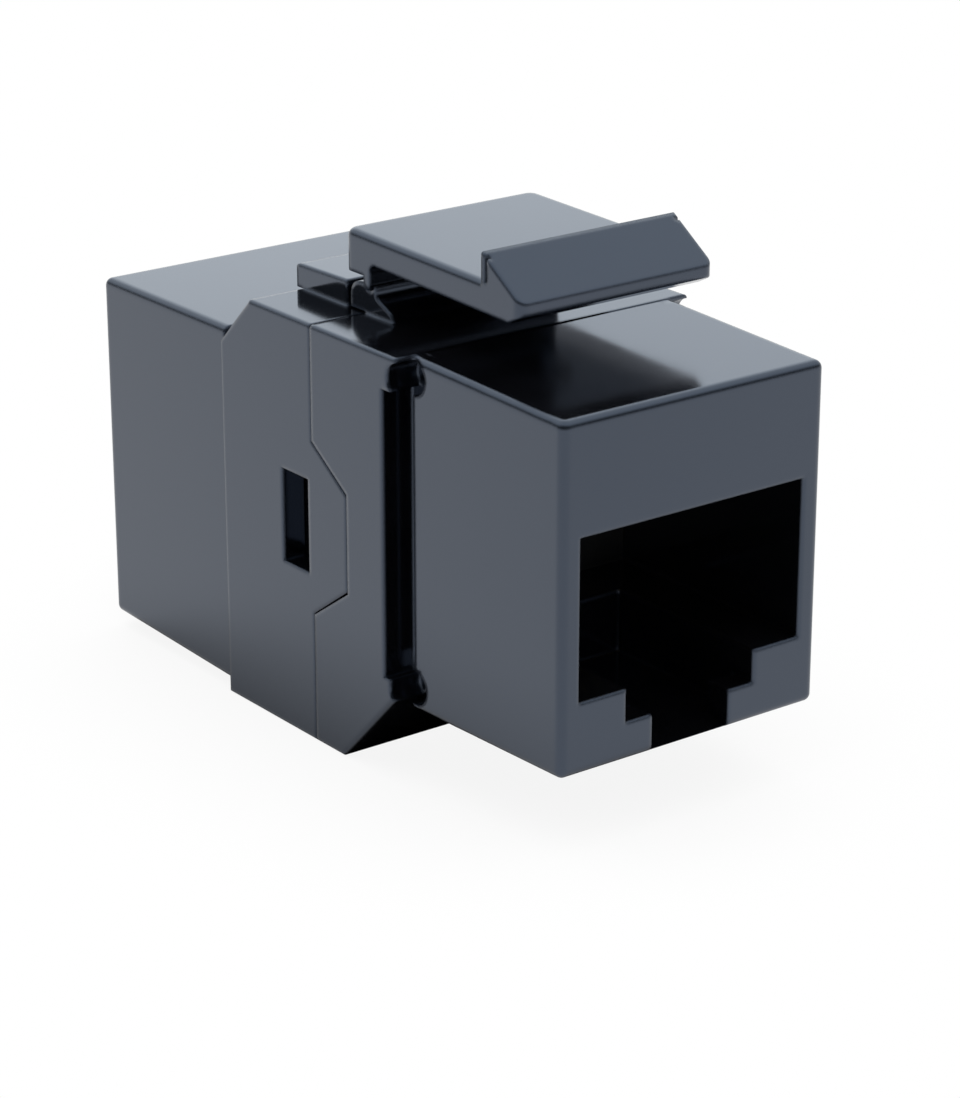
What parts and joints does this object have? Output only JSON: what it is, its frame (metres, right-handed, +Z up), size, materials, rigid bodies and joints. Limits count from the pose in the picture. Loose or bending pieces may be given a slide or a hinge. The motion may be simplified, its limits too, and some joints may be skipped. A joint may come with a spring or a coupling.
{
  "type": "keystone coupler",
  "caption": "Keystone coupler: a panel snout with a sprung latch, a flange band with side slots and snap windows, and a stepped modular socket at each end.",
  "frame": {"origin": "on the plane of the flange's underside, midway along the length and across the width", "axes": "+Z up towards the latch, +Y from the front port to the rear port, +X to the right seen from the front"},
  "size_m": [0.0164, 0.035, 0.0249],
  "materials": {
    "housing_plastic": "gloss black",
    "carrier_plastic": "matt black",
    "contact_metal": "gold plated",
    "board_laminate": "green solder mask"
  },
  "bodies": {
    "shell": {"front_housing": "housing_plastic", "rear_housing": "housing_plastic", "circuit_board": "board_laminate", "front_contact_carrier": "carrier_plastic", "rear_contact_carrier": "carrier_plastic", "front_contact_1": "contact_metal", "front_contact_2": "contact_metal", "front_contact_3": "contact_metal", "front_contact_4": "contact_metal", "front_contact_5": "contact_metal", "front_contact_6": "contact_metal", "front_contact_7": "contact_metal", "front_contact_8": "contact_metal", "rear_contact_1": "contact_metal", "rear_contact_2": "contact_metal", "rear_contact_3": "contact_metal", "rear_contact_4": "contact_metal", "rear_contact_5": "contact_metal", "rear_contact_6": "contact_metal", "rear_contact_7": "contact_metal", "rear_contact_8": "contact_metal"},
    "latch": {"keystone_latch": "housing_plastic"}
  },
  "joints": [
    {"name": "latch_press", "type": "hinge", "parent": "shell", "child": "latch", "pos_m": [0, -0.00106, 0.0215], "axis": [1, 0, 0], "range_deg": [0, 12], "stiffness_Nm_per_rad": 0.3}
  ]
}
